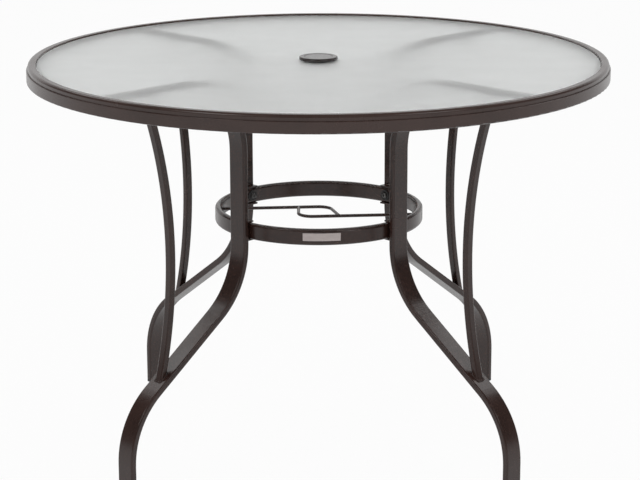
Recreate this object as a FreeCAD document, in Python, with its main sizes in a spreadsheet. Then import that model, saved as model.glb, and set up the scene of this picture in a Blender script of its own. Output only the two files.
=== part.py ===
import FreeCAD, Part
import math
import os

import Sketcher

# Umbrella table: a round frosted glass top that lies loose in a tubular rim, on four bent legs.
# Millimetres, +Z up, origin on the floor under the middle of the table.

Vector = FreeCAD.Vector
Rotation = FreeCAD.Rotation
Placement = FreeCAD.Placement

# Driving sizes, in millimetres, and degrees where the name ends in angle
SIZES = {
    # rim
    "table_height": 736.0,
    "rim_outer_radius": 533.5,
    "rim_height": 31.7,
    "rim_step_depth": 10.5,
    "rim_step_inset": 2.6,
    "rim_lip_width": 14.9,
    "rim_ledge_width": 8.5,
    "rim_tube_wall": 1.5,
    "rim_shoulder_round": 5.0,
    "rim_lip_round": 1.5,
    "rim_base_round": 2.5,
    "rim_step_round": 1.0,
    "rim_ledge_round": 1.0,
    # glass and its pads
    "glass_recess": 2.5,
    "glass_thick": 5.0,
    "glass_side_gap": 1.0,
    "glass_edge_round": 1.5,
    "glass_hole_radius": 29.0,
    "pad_thick": 1.6,
    "pad_seat_gap": 0.2,
    "ledge_pad_radius": 2.6,
    "arm_pad_radius": 7.0,
    "arm_pad_bend_gap": 20.0,
    "arm_pad_rim_gap": 30.0,
    # umbrella ring, its collar and its cap
    "grommet_flange_radius": 35.5,
    "grommet_flange_thick": 5.0,
    "grommet_flange_round": 2.4,
    "grommet_sleeve_gap": 0.4,
    "grommet_sleeve_drop": 27.0,
    "grommet_wall": 2.4,
    "grommet_recess_depth": 7.5,
    "pole_bore_radius": 22.5,
    "collar_radius": 34.5,
    "collar_thick": 8.0,
    "collar_round": 1.5,
    "collar_thread_gap": 0.1,
    "cap_side_gap": 0.4,
    "cap_seat_gap": 0.2,
    "cap_sink_depth": 0.3,
    "cap_wall": 2.0,
    "cap_top_round": 0.8,
    # leg tube
    "leg_tube_width": 38.0,
    "leg_tube_depth": 12.0,
    "leg_tube_round": 3.2,
    "leg_tube_wall": 1.5,
    "leg_upright_radius": 203.0,
    "leg_foot_radius": 480.0,
    "leg_arm_bend_radius": 128.0,
    "leg_bend_radius": 150.0,
    "leg_slope_angle": 54.4,
    "leg_slope_height": 244.2,
    # curved brace between the arm and the slope of a leg
    "brace_width": 16.0,
    "brace_depth": 12.0,
    "brace_round": 2.8,
    "brace_wall": 1.2,
    "brace_bow_radius": 835.0,
    "brace_bow_height": 428.0,
    "brace_nearest_radius": 369.3,
    # foot glide
    "glide_thick": 5.0,
    "glide_plug_height": 18.0,
    "glide_plug_gap": 0.1,
    "glide_base_round": 1.2,
    # end plate that bolts an arm to the rim
    "plate_thick": 3.0,
    "plate_half_width": 35.0,
    "plate_margin": 1.2,
    "plate_bolt_spread": 27.0,
    # middle ring and its brackets
    "ring_height": 30.0,
    "ring_thick": 12.0,
    "ring_round": 5.0,
    "ring_wall": 1.5,
    "ring_middle_height": 444.0,
    "bracket_width": 26.0,
    "bracket_plate": 3.0,
    "bracket_flange": 3.0,
    "bracket_reach_length": 1.0,
    "bracket_gap": 0.2,
    "bracket_round": 2.0,
    # bolts, washers and nuts
    "bolt_radius": 3.0,
    "bolt_hole_radius": 3.3,
    "bolt_head_radius": 5.25,
    "bolt_head_height": 3.3,
    "bolt_head_round": 1.8,
    "bolt_past_nut_length": 2.0,
    "hex_socket_radius": 2.3,
    "hex_socket_depth": 1.9,
    "plate_washer_radius": 6.0,
    "ring_washer_radius": 10.5,
    "washer_thick": 1.5,
    "nut_radius": 5.0,
    "nut_length": 6.0,
    "nut_thread_gap": 0.05,
    # wires that hold the pole in the middle of the ring
    "guide_wire_radius": 3.0,
    "guide_side_place": 37.0,
    "guide_slant_angle": 4.5,
    "guide_open_place": 28.0,
    "guide_open_turn_angle": 79.5,
    "guide_closed_place": 38.0,
    "guide_closed_turn_angle": 94.5,
    "guide_bend_radius": 26.0,
    "guide_tip_gap": 0.6,
    "guide_end_spare": 8.0,
    # blank plate on the outside of the ring
    "label_width": 68.0,
    "label_height": 14.0,
    "label_thick": 0.8,
    "label_gap": 0.1,
    "label_rise_height": 1.0,
    "label_shift_length": 5.0,
}

# Where the four legs stand, in degrees about the upright axis; the front faces -Y
LEGS = {"front_left": 225.0, "front_right": 315.0, "back_right": 45.0, "back_left": 135.0}
LEDGE_PAD_COUNT = 12
FRONT = 270.0
QUARTER_TURN = 90.0
HALF_TURN = 180.0
FULL_TURN = 360.0
HEXAGON_SIDE_COUNT = 6
# A drill through a wall is this many walls long
DRILL_WALL_COUNT = 3

doc = FreeCAD.newDocument("UmbrellaTable")
sheet = doc.addObject("Spreadsheet::Sheet", "Sizes")
for row, (alias, number) in enumerate(SIZES.items(), start=1):
    sheet.set(f"A{row}", alias.replace("_", " "))
    sheet.set(f"B{row}", str(number))
    sheet.setAlias(f"B{row}", alias)
doc.recompute()


class Size:
    """A number together with the sheet expression that gives it."""

    def __init__(self, number, text):
        self.number = number
        self.text = text

    def __add__(self, other):
        other = size_of(other)
        return Size(self.number + other.number, f"({self.text} + {other.text})")

    def __sub__(self, other):
        other = size_of(other)
        return Size(self.number - other.number, f"({self.text} - {other.text})")

    def __mul__(self, other):
        other = size_of(other)
        return Size(self.number * other.number, f"({self.text} * {other.text})")

    def __truediv__(self, other):
        other = size_of(other)
        return Size(self.number / other.number, f"({self.text} / {other.text})")

    def __neg__(self):
        return Size(-self.number, f"(0 - {self.text})")

    __radd__ = __add__
    __rmul__ = __mul__


def size_of(value):
    """Plain numbers take part in sums with sizes as they are."""
    if isinstance(value, Size):
        return value
    return Size(float(value), repr(float(value)))


def cell(alias):
    return Size(SIZES[alias], f"Sizes.{alias}")


def sine(angle):
    return Size(math.sin(math.radians(angle.number)), f"sin({angle.text})")


def cosine(angle):
    return Size(math.cos(math.radians(angle.number)), f"cos({angle.text})")


def root(size):
    return Size(math.sqrt(size.number), f"sqrt({size.text})")


def in_degrees(arc, radius):
    """The angle, in degrees, that an arc of this length takes on this radius."""
    return arc / radius * (HALF_TURN / math.pi)


def bind(thing, name, size):
    thing.setExpression(name, size_of(size).text)


ZERO = size_of(0.0)

# Heights and radii that several pieces share
rim_top = cell("table_height")
rim_bottom = rim_top - cell("rim_height")
rim_shoulder = cell("rim_outer_radius") - cell("rim_step_inset")
rim_lip = rim_shoulder - cell("rim_lip_width")
rim_wall = rim_lip - cell("rim_ledge_width")
glass_top = rim_top - cell("glass_recess")
glass_bottom = glass_top - cell("glass_thick")
ledge = glass_bottom - cell("pad_seat_gap") - cell("pad_thick")
arm_middle = ledge - cell("leg_tube_depth") / 2
arm_end = rim_wall - cell("plate_thick")
upright_face = cell("leg_upright_radius") - cell("leg_tube_depth") / 2
ring_outer = upright_face - cell("bracket_plate") - cell("bracket_gap")
ring_inner = ring_outer - cell("ring_thick")
ring_bottom = cell("ring_middle_height") - cell("ring_height") / 2
ring_top = cell("ring_middle_height") + cell("ring_height") / 2


def new_body(label):
    body = doc.addObject("PartDesign::Body", label)
    body.Label = label
    return body


def new_sketch(body, name, role, lift=ZERO):
    """A sketch on one of the body's own origin planes, lifted off it or up in it."""
    sketch = body.newObject("Sketcher::SketchObject", name)
    plane = [item for item in body.Origin.OriginFeatures if item.Role == role][0]
    sketch.AttachmentSupport = [(plane, "")]
    sketch.MapMode = "FlatFace"
    along = "z" if role == "XY_Plane" else "y"
    bind(sketch, f"AttachmentOffset.Base.{along}", lift)
    return sketch


def hold(sketch, kind, *where, size):
    """Adds a constraint whose value comes from the sheet."""
    index = sketch.addConstraint(Sketcher.Constraint(kind, *where, size.number))
    bind(sketch, f"Constraints[{index}]", size)


def pin(sketch, geometry, point, spot):
    """Fixes one point of a sketch at (x, y), both measured from the sketch's origin."""
    hold(sketch, "DistanceX", geometry, point, size=size_of(spot[0]))
    hold(sketch, "DistanceY", geometry, point, size=size_of(spot[1]))


def as_vector(spot):
    return Vector(spot[0].number, spot[1].number, 0)


def heading(start, end):
    """The unit step, level or upright, that leads from one corner to the next."""
    across = end[0].number - start[0].number
    along = end[1].number - start[1].number
    if abs(across) > abs(along):
        return (math.copysign(1.0, across), 0.0)
    return (0.0, math.copysign(1.0, along))


def moved(spot, direction, distance):
    return (spot[0] + distance * direction[0], spot[1] + distance * direction[1])


def outline(sketch, corners):
    """A closed outline of level and upright edges.

    Each corner is (x, y) or (x, y, radius); a radius turns it into a tangent arc.
    """
    spots = [(size_of(corner[0]), size_of(corner[1])) for corner in corners]
    rounds = [size_of(corner[2]) if len(corner) > 2 else ZERO for corner in corners]
    total = len(spots)
    arrive = []
    leave = []
    for index, spot in enumerate(spots):
        arrive.append(moved(spot, heading(spot, spots[index - 1]), rounds[index]))
        leave.append(moved(spot, heading(spot, spots[(index + 1) % total]), rounds[index]))
    edges = []
    for index in range(total):
        after = (index + 1) % total
        segment = Part.LineSegment(as_vector(leave[index]), as_vector(arrive[after]))
        edges.append(sketch.addGeometry(segment, False))
    for index in range(total):
        before = edges[index - 1]
        pin(sketch, edges[index], 1, leave[index])
        if rounds[index].number == 0:
            sketch.addConstraint(Sketcher.Constraint("Coincident", before, 2, edges[index], 1))
            continue
        pin(sketch, before, 2, arrive[index])
        inward = moved(leave[index], heading(spots[index], spots[index - 1]), rounds[index])
        centre = as_vector(inward)
        start = as_vector(arrive[index]) - centre
        end = as_vector(leave[index]) - centre
        circle = Part.Circle(centre, Vector(0, 0, 1), rounds[index].number)
        start_angle = math.atan2(start.y, start.x)
        end_angle = math.atan2(end.y, end.x)
        leftward = start.x * end.y - start.y * end.x > 0
        if leftward:
            arc = sketch.addGeometry(Part.ArcOfCircle(circle, start_angle, end_angle), False)
        else:
            arc = sketch.addGeometry(Part.ArcOfCircle(circle, end_angle, start_angle), False)
        first, last = (1, 2) if leftward else (2, 1)
        sketch.addConstraint(Sketcher.Constraint("Coincident", before, 2, arc, first))
        sketch.addConstraint(Sketcher.Constraint("Coincident", arc, last, edges[index], 1))
        hold(sketch, "Radius", arc, size=rounds[index])


def polygon(sketch, spots):
    """A closed outline of straight edges through the spots."""
    total = len(spots)
    for index, spot in enumerate(spots):
        segment = Part.LineSegment(as_vector(spot), as_vector(spots[(index + 1) % total]))
        sketch.addGeometry(segment, False)
    for index, spot in enumerate(spots):
        pin(sketch, index, 1, spot)
        sketch.addConstraint(Sketcher.Constraint("Coincident", (index - 1) % total, 2, index, 1))


def rectangle(sketch, middle, width, height, rounding):
    """A rectangle with round corners about a middle point."""
    left = middle[0] - width / 2
    right = middle[0] + width / 2
    low = middle[1] - height / 2
    high = middle[1] + height / 2
    outline(sketch, [
        (left, low, rounding),
        (right, low, rounding),
        (right, high, rounding),
        (left, high, rounding),
    ])


def turned(label, corners, angle=None):
    """A piece turned about the upright axis, whole or a sector centred on the X axis."""
    body = new_body(label)
    sketch = new_sketch(body, label + "_outline", "XZ_Plane")
    outline(sketch, corners)
    turn = body.newObject("PartDesign::Revolution", label + "_turn")
    turn.Profile = sketch
    turn.ReferenceAxis = (sketch, ["V_Axis"])
    turn.Angle = FULL_TURN
    if angle is not None:
        turn.Midplane = True
        bind(turn, "Angle", angle)
    body.Tip = turn
    return body


def hollow(body, corners):
    """Takes a turned cavity out of a turned piece."""
    sketch = new_sketch(body, body.Label + "_cavity_outline", "XZ_Plane")
    outline(sketch, corners)
    groove = body.newObject("PartDesign::Groove", body.Label + "_cavity")
    groove.Profile = sketch
    groove.ReferenceAxis = (sketch, ["V_Axis"])
    groove.Angle = FULL_TURN
    body.Tip = groove
    return body


def widened(body, sketch, width):
    """Pads a sketch equally to both sides."""
    pad = body.newObject("PartDesign::Pad", body.Label + "_pad")
    pad.Profile = sketch
    pad.SideType = "Symmetric"
    bind(pad, "Length", width)
    body.Tip = pad
    return body


def spindle(label, corners, height):
    """A piece turned about a line that runs outwards along X at one height; corners are (x, radius)."""
    body = new_body(label)
    sketch = new_sketch(body, label + "_outline", "XZ_Plane", height)
    outline(sketch, corners)
    turn = body.newObject("PartDesign::Revolution", label + "_turn")
    turn.Profile = sketch
    turn.ReferenceAxis = (sketch, ["H_Axis"])
    turn.Angle = FULL_TURN
    body.Tip = turn
    return body


def face_outwards(thing, angle):
    """Turns a piece about the upright axis, from the X axis to its own place round the table."""
    angle = size_of(angle)
    thing.Placement = Placement(Vector(0, 0, 0), Rotation(Vector(0, 0, 1), angle.number))
    bind(thing, "Placement.Rotation.Angle", angle)
    return thing


def bar(label, radius, start, length, height, turn=ZERO):
    """A round bar along X, from a start radius outwards, then turned about the upright axis."""
    cylinder = doc.addObject("Part::Cylinder", label)
    bind(cylinder, "Radius", radius)
    bind(cylinder, "Height", length)
    axis_turn = Rotation(Vector(0, 0, 1), turn.number) * Rotation(Vector(0, 1, 0), QUARTER_TURN)
    cylinder.Placement = Placement(Vector(0, 0, 0), axis_turn)
    bind(cylinder, "Placement.Base.x", start * cosine(turn))
    bind(cylinder, "Placement.Base.y", start * sine(turn))
    bind(cylinder, "Placement.Base.z", height)
    return cylinder


def post(label, radius, low, high):
    """An upright round bar on the middle axis."""
    cylinder = doc.addObject("Part::Cylinder", label)
    bind(cylinder, "Radius", radius)
    bind(cylinder, "Height", high - low)
    bind(cylinder, "Placement.Base.z", low)
    return cylinder


def cut(label, base, tool):
    result = doc.addObject("Part::Cut", label)
    result.Base = base
    result.Tool = tool
    result.Label = label
    return result


def joined(label, pieces):
    result = doc.addObject("Part::MultiFuse", label)
    result.Shapes = pieces
    result.Label = label
    return result


def group(label, pieces):
    """Identical loose pieces kept as separate solids under one name."""
    result = doc.addObject("Part::Compound", label)
    result.Links = pieces
    result.Label = label
    return result


parts = []

# Where the bolts go: two through each end plate into the rim, one through the ring into each leg
plate_bolt_turn = in_degrees(cell("plate_bolt_spread"), rim_wall)
plate_low = rim_bottom + cell("plate_margin")
plate_high = ledge - cell("plate_margin")
plate_middle = (plate_low + plate_high) / 2


def plate_bolt_angles():
    for name, azimuth in LEGS.items():
        yield name + "_a", size_of(azimuth) - plate_bolt_turn
        yield name + "_b", size_of(azimuth) + plate_bolt_turn


# Rim: a closed round-cornered tube with a raised lip outside and a ledge for the glass inside
rim_blank = turned("rim_blank", [
    (cell("rim_outer_radius"), rim_bottom, cell("rim_base_round")),
    (cell("rim_outer_radius"), rim_top - cell("rim_step_depth"), cell("rim_step_round")),
    (rim_shoulder, rim_top - cell("rim_step_depth")),
    (rim_shoulder, rim_top, cell("rim_shoulder_round")),
    (rim_lip, rim_top, cell("rim_lip_round")),
    (rim_lip, ledge),
    (rim_wall, ledge, cell("rim_ledge_round")),
    (rim_wall, rim_bottom, cell("rim_base_round")),
])
tube_wall = cell("rim_tube_wall")
hollow(rim_blank, [
    (rim_shoulder - tube_wall, rim_bottom + tube_wall),
    (rim_shoulder - tube_wall, rim_top - tube_wall),
    (rim_lip + tube_wall, rim_top - tube_wall),
    (rim_lip + tube_wall, ledge - tube_wall),
    (rim_wall + tube_wall, ledge - tube_wall),
    (rim_wall + tube_wall, rim_bottom + tube_wall),
])
rim_holes = [
    bar("rim_hole_" + name, cell("bolt_hole_radius"), arm_end, cell("plate_thick") + 2 * tube_wall,
        plate_middle, turn)
    for name, turn in plate_bolt_angles()
]
parts.append(cut("table_rim", rim_blank, joined("rim_holes", rim_holes)))

# Glass: one tempered disc with a round hole in the middle
glass_round = cell("glass_edge_round")
parts.append(turned("glass_top", [
    (cell("glass_hole_radius"), glass_bottom, glass_round),
    (rim_lip - cell("glass_side_gap"), glass_bottom, glass_round),
    (rim_lip - cell("glass_side_gap"), glass_top, glass_round),
    (cell("glass_hole_radius"), glass_top, glass_round),
]))


# Glass pads: soft discs stuck on the ledge and on the arms, under the glass
def pad(label, radius, place, azimuth):
    disc = doc.addObject("Part::Cylinder", label)
    bind(disc, "Radius", radius)
    bind(disc, "Height", cell("pad_thick"))
    bind(disc, "Placement.Base.x", place * cosine(size_of(azimuth)))
    bind(disc, "Placement.Base.y", place * sine(size_of(azimuth)))
    bind(disc, "Placement.Base.z", ledge)
    return disc


ledge_middle = (rim_lip + rim_wall) / 2
pads = [
    pad(f"ledge_pad_{index}", cell("ledge_pad_radius"), ledge_middle, index * FULL_TURN / LEDGE_PAD_COUNT)
    for index in range(LEDGE_PAD_COUNT)
]
inner_place = cell("leg_upright_radius") + cell("leg_arm_bend_radius") + cell("arm_pad_bend_gap")
outer_place = arm_end - cell("arm_pad_rim_gap")
for name, azimuth in LEGS.items():
    pads.append(pad("inner_arm_pad_" + name, cell("arm_pad_radius"), inner_place, azimuth))
    pads.append(pad("outer_arm_pad_" + name, cell("arm_pad_radius"), outer_place, azimuth))
parts.append(group("glass_pads", pads))

# Umbrella ring: a flanged sleeve through the glass, with a recess above a narrower pole bore
sleeve_outer = cell("glass_hole_radius") - cell("grommet_sleeve_gap")
recess_radius = sleeve_outer - cell("grommet_wall")
flange_top = glass_top + cell("grommet_flange_thick")
recess_floor = flange_top - cell("grommet_recess_depth")
sleeve_bottom = glass_bottom - cell("grommet_sleeve_drop")
flange_round = cell("grommet_flange_round")
parts.append(turned("umbrella_ring", [
    (cell("pole_bore_radius"), sleeve_bottom, cell("cap_top_round")),
    (sleeve_outer, sleeve_bottom, cell("cap_top_round")),
    (sleeve_outer, glass_top),
    (cell("grommet_flange_radius"), glass_top),
    (cell("grommet_flange_radius"), flange_top, flange_round),
    (recess_radius, flange_top, cell("cap_top_round")),
    (recess_radius, recess_floor),
    (cell("pole_bore_radius"), recess_floor),
]))

# Collar: the threaded nut that holds the umbrella ring from under the glass
collar_round = cell("collar_round")
parts.append(turned("umbrella_ring_collar", [
    (sleeve_outer + cell("collar_thread_gap"), glass_bottom - cell("collar_thick")),
    (cell("collar_radius"), glass_bottom - cell("collar_thick"), collar_round),
    (cell("collar_radius"), glass_bottom, cell("rim_step_round")),
    (sleeve_outer + cell("collar_thread_gap"), glass_bottom),
]))

# Cap: a shallow cup that drops into the recess when no umbrella stands there
cap_radius = recess_radius - cell("cap_side_gap")
cap_top = flange_top - cell("cap_sink_depth")
cap_foot = recess_floor + cell("cap_seat_gap")
parts.append(turned("umbrella_ring_cap", [
    (ZERO, cap_top - cell("cap_wall")),
    (cap_radius - cell("cap_wall"), cap_top - cell("cap_wall")),
    (cap_radius - cell("cap_wall"), cap_foot),
    (cap_radius, cap_foot),
    (cap_radius, cap_top, cell("cap_top_round")),
    (ZERO, cap_top),
]))

# Legs: one flat-sided tube each, bent in the upright plane that holds the middle axis
tube_width = cell("leg_tube_width")
tube_depth = cell("leg_tube_depth")
slope = cell("leg_slope_angle")
leg_middle = (cell("leg_foot_radius") + cell("leg_upright_radius")) / 2


def leg_path(sketch):
    """Foot, bend, slope, bend, upright, bend and arm, each tangent to the next."""
    foot = cell("leg_foot_radius").number
    upright = cell("leg_upright_radius").number
    bend = cell("leg_bend_radius").number
    arm_bend = cell("leg_arm_bend_radius").number
    arm = arm_middle.number
    lean = math.radians(slope.number)
    reach = bend * math.tan(lean / 2)
    drop = (foot - upright) / 2 / math.tan(lean)
    low_corner = cell("leg_slope_height").number - drop
    high_corner = cell("leg_slope_height").number + drop
    step = Vector(-math.sin(lean) * reach, math.cos(lean) * reach, 0)
    foot_bend = [Vector(foot, low_corner - reach, 0), Vector(foot, low_corner, 0) + step]
    top_bend = [Vector(upright, high_corner, 0) - step, Vector(upright, high_corner + reach, 0)]
    arm_start = [Vector(upright, arm - arm_bend, 0), Vector(upright + arm_bend, arm, 0)]
    up = Vector(0, 0, 1)
    sketch.addGeometry(Part.LineSegment(Vector(foot, cell("glide_thick").number, 0), foot_bend[0]), False)
    circle = Part.Circle(Vector(foot - bend, foot_bend[0].y, 0), up, bend)
    sketch.addGeometry(Part.ArcOfCircle(circle, 0, lean), False)
    sketch.addGeometry(Part.LineSegment(foot_bend[1], top_bend[0]), False)
    circle = Part.Circle(Vector(upright + bend, top_bend[1].y, 0), up, bend)
    sketch.addGeometry(Part.ArcOfCircle(circle, math.pi, math.pi + lean), False)
    sketch.addGeometry(Part.LineSegment(top_bend[1], arm_start[0]), False)
    circle = Part.Circle(Vector(upright + arm_bend, arm_start[0].y, 0), up, arm_bend)
    sketch.addGeometry(Part.ArcOfCircle(circle, math.pi / 2, math.pi), False)
    sketch.addGeometry(Part.LineSegment(arm_start[1], Vector(rim_wall.number, arm, 0)), False)
    sketch.addGeometry(Part.Point(Vector(leg_middle.number, cell("leg_slope_height").number, 0)), True)
    # both ends of each bend: the line and its end, then the arc and its end
    meetings = [(0, 2, 1, 1), (2, 1, 1, 2), (2, 2, 3, 2), (4, 1, 3, 1), (4, 2, 5, 2), (6, 1, 5, 1)]
    for line, line_end, arc, arc_end in meetings:
        sketch.addConstraint(Sketcher.Constraint("Tangent", line, line_end, arc, arc_end))
    for upright_line in (0, 4):
        sketch.addConstraint(Sketcher.Constraint("Vertical", upright_line))
    sketch.addConstraint(Sketcher.Constraint("Horizontal", 6))
    pin(sketch, 0, 1, (cell("leg_foot_radius"), cell("glide_thick")))
    hold(sketch, "DistanceX", 4, 1, size=cell("leg_upright_radius"))
    pin(sketch, 6, 2, (rim_wall, arm_middle))
    hold(sketch, "Radius", 1, size=cell("leg_bend_radius"))
    hold(sketch, "Radius", 3, size=cell("leg_bend_radius"))
    hold(sketch, "Radius", 5, size=cell("leg_arm_bend_radius"))
    pin(sketch, 7, 1, (leg_middle, cell("leg_slope_height")))
    sketch.addConstraint(Sketcher.Constraint("PointOnObject", 7, 1, 2))
    hold(sketch, "Angle", 2, size=slope + QUARTER_TURN)


def leg_tube(label):
    body = new_body(label)
    path = new_sketch(body, label + "_path", "XZ_Plane")
    leg_path(path)
    foot = (cell("leg_foot_radius"), ZERO)
    wall = cell("leg_tube_wall")
    skin = new_sketch(body, label + "_skin", "XY_Plane", cell("glide_thick"))
    rectangle(skin, foot, tube_depth, tube_width, cell("leg_tube_round"))
    bore = new_sketch(body, label + "_bore", "XY_Plane", cell("glide_thick"))
    rectangle(bore, foot, tube_depth - 2 * wall, tube_width - 2 * wall, cell("leg_tube_round") - wall)
    for kind, section in (("AdditivePipe", skin), ("SubtractivePipe", bore)):
        pipe = body.newObject("PartDesign::" + kind, label + "_" + kind)
        pipe.Profile = section
        pipe.Spine = (path, [])
        body.Tip = pipe
    return body


for name, azimuth in LEGS.items():
    blank = leg_tube("leg_blank_" + name)
    hole = bar("leg_hole_" + name, cell("bolt_hole_radius"), upright_face - cell("leg_tube_wall"),
               DRILL_WALL_COUNT * cell("leg_tube_wall"), cell("ring_middle_height"))
    past_arm = cut("past_arm_" + name, post("past_arm_outer_" + name, rim_shoulder, rim_bottom, rim_top),
                   post("past_arm_inner_" + name, arm_end, rim_bottom, rim_top))
    drilled = cut("leg_drilled_" + name, blank, hole)
    parts.append(face_outwards(cut("leg_" + name, drilled, past_arm), azimuth))

# Foot glides: plastic feet pushed into the open lower ends of the legs
for name, azimuth in LEGS.items():
    label = "foot_glide_" + name
    body = new_body(label)
    foot = (cell("leg_foot_radius"), ZERO)
    base = new_sketch(body, label + "_base", "XY_Plane")
    rectangle(base, foot, tube_depth, tube_width, cell("leg_tube_round"))
    sole = body.newObject("PartDesign::Pad", label + "_sole")
    sole.Profile = base
    bind(sole, "Length", cell("glide_thick"))
    doc.recompute()
    low_edges = [f"Edge{index}" for index, edge in enumerate(sole.Shape.Edges, start=1)
                 if edge.BoundBox.ZMax < cell("glide_thick").number / 2]
    rounded = body.newObject("PartDesign::Fillet", label + "_rounded")
    rounded.Base = (sole, low_edges)
    bind(rounded, "Radius", cell("glide_base_round"))
    inset = 2 * (cell("leg_tube_wall") + cell("glide_plug_gap"))
    plug = new_sketch(body, label + "_plug", "XY_Plane", cell("glide_thick"))
    plug_round = cell("leg_tube_round") - cell("leg_tube_wall")
    rectangle(plug, foot, tube_depth - inset, tube_width - inset, plug_round)
    stem = body.newObject("PartDesign::Pad", label + "_stem")
    stem.Profile = plug
    bind(stem, "Length", cell("glide_plug_height"))
    body.Tip = stem
    parts.append(face_outwards(body, azimuth))

# Braces: slimmer tubes that bow inwards between the arm and the slope of each leg, cut to sit on both
bow_centre = cell("brace_nearest_radius") + cell("brace_bow_radius")
arm_underside = arm_middle - tube_depth / 2


def bow(label, inset):
    """A solid bow of the brace's section, made thinner all round by the inset."""
    body = new_body(label)
    sketch = new_sketch(body, label + "_section", "XY_Plane")
    middle = (-cell("brace_bow_radius"), ZERO)
    rectangle(sketch, middle, cell("brace_depth") - 2 * inset, cell("brace_width") - 2 * inset,
              cell("brace_round") - inset)
    turn = body.newObject("PartDesign::Revolution", label + "_turn")
    turn.Profile = sketch
    turn.ReferenceAxis = (sketch, ["V_Axis"])
    turn.Midplane = True
    bind(turn, "Angle", in_degrees(cell("table_height"), cell("brace_bow_radius")))
    body.Tip = turn
    bind(body, "Placement.Base.x", bow_centre)
    bind(body, "Placement.Base.z", cell("brace_bow_height"))
    return body


def brace_keep(label):
    """The space a brace may fill: below the arm and above the upper face of the slope."""
    body = new_body(label)
    sketch = new_sketch(body, label + "_outline", "XZ_Plane")
    inside = cell("brace_nearest_radius") - cell("brace_depth")
    outside = cell("leg_foot_radius")
    face_radius = leg_middle + tube_depth / 2 * cosine(slope)
    face_height = cell("leg_slope_height") + tube_depth / 2 * sine(slope)
    fall = cosine(slope) / sine(slope)
    polygon(sketch, [
        (inside, face_height - (inside - face_radius) * fall),
        (outside, face_height - (outside - face_radius) * fall),
        (outside, arm_underside),
        (inside, arm_underside),
    ])
    return widened(body, sketch, cell("leg_tube_width"))


for name, azimuth in LEGS.items():
    skin = bow("brace_skin_" + name, ZERO)
    bore = bow("brace_bore_" + name, cell("brace_wall"))
    brace = doc.addObject("Part::Common", "brace_" + name)
    brace.Base = cut("brace_tube_" + name, skin, bore)
    brace.Tool = brace_keep("brace_keep_" + name)
    brace.Label = "brace_" + name
    parts.append(face_outwards(brace, azimuth))

# End plates: curved straps welded to the arms and bolted to the inner wall of the rim
for name, azimuth in LEGS.items():
    blank = turned("plate_blank_" + name, [
        (arm_end, plate_low),
        (rim_wall, plate_low),
        (rim_wall, plate_high),
        (arm_end, plate_high),
    ], in_degrees(cell("plate_half_width"), rim_wall) * 2)
    holes = [
        bar(f"plate_hole_{name}_{side}", cell("bolt_hole_radius"), arm_end - cell("plate_thick"),
            DRILL_WALL_COUNT * cell("plate_thick"), plate_middle, turn)
        for side, turn in (("a", -plate_bolt_turn), ("b", plate_bolt_turn))
    ]
    plate = cut("end_plate_" + name, blank, joined("plate_holes_" + name, holes))
    parts.append(face_outwards(plate, azimuth))

# Middle ring: a round-edged flat tube that ties the four uprights together
ring_blank = turned("ring_blank", [
    (ring_inner, ring_bottom, cell("ring_round")),
    (ring_outer, ring_bottom, cell("ring_round")),
    (ring_outer, ring_top, cell("ring_round")),
    (ring_inner, ring_top, cell("ring_round")),
])
ring_wall = cell("ring_wall")
bore_round = cell("ring_round") - ring_wall
hollow(ring_blank, [
    (ring_inner + ring_wall, ring_bottom + ring_wall, bore_round),
    (ring_outer - ring_wall, ring_bottom + ring_wall, bore_round),
    (ring_outer - ring_wall, ring_top - ring_wall, bore_round),
    (ring_inner + ring_wall, ring_top - ring_wall, bore_round),
])
ring_holes = [
    bar("ring_hole_" + name, cell("bolt_hole_radius"), ring_inner - ring_wall,
        cell("ring_thick") + 2 * ring_wall, cell("ring_middle_height"), size_of(azimuth))
    for name, azimuth in LEGS.items()
]
parts.append(cut("middle_ring", ring_blank, joined("ring_holes", ring_holes)))

# Ring brackets: channels on the uprights that hold the ring between two flanges
plate_face = upright_face - cell("bracket_plate")
reach_end = ring_inner - cell("bracket_reach_length")
flange_low = ring_bottom - cell("bracket_gap")
flange_high = ring_top + cell("bracket_gap")
channel_low = flange_low - cell("bracket_flange")
channel_high = flange_high + cell("bracket_flange")
for name, azimuth in LEGS.items():
    body = new_body("bracket_blank_" + name)
    sketch = new_sketch(body, "bracket_outline_" + name, "XZ_Plane")
    outline(sketch, [
        (reach_end, channel_low),
        (upright_face, channel_low, cell("bracket_round")),
        (upright_face, channel_high, cell("bracket_round")),
        (reach_end, channel_high),
        (reach_end, flange_high),
        (plate_face, flange_high),
        (plate_face, flange_low),
        (reach_end, flange_low),
    ])
    channel = widened(body, sketch, cell("bracket_width"))
    hole = bar("bracket_hole_" + name, cell("bolt_hole_radius"), ring_outer - cell("bracket_plate"),
               DRILL_WALL_COUNT * cell("bracket_plate"), cell("ring_middle_height"))
    parts.append(face_outwards(cut("ring_bracket_" + name, channel, hole), azimuth))


# Fasteners: button-head bolts with a hexagon socket, washers and round weld nuts
def bolt(label, seat, end, height, turn):
    head_face = seat - cell("bolt_head_height")
    blank = spindle(label + "_blank", [
        (head_face, ZERO),
        (head_face, cell("bolt_head_radius"), cell("bolt_head_round")),
        (seat, cell("bolt_head_radius")),
        (seat, cell("bolt_radius")),
        (end, cell("bolt_radius")),
        (end, ZERO),
    ], height)
    socket = doc.addObject("Part::Prism", label + "_socket")
    socket.Polygon = HEXAGON_SIDE_COUNT
    bind(socket, "Circumradius", cell("hex_socket_radius"))
    bind(socket, "Height", cell("hex_socket_depth"))
    socket.Placement = Placement(Vector(0, 0, 0), Rotation(Vector(0, 1, 0), QUARTER_TURN))
    bind(socket, "Placement.Base.x", head_face)
    bind(socket, "Placement.Base.z", height)
    return face_outwards(cut(label, blank, socket), turn)


def sleeve(label, inner, outer, start, end, height, turn):
    """A washer or a round nut: a short tube along X from start to end."""
    body = spindle(label, [(start, inner), (end, inner), (end, outer), (start, outer)], height)
    return face_outwards(body, turn)


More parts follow.
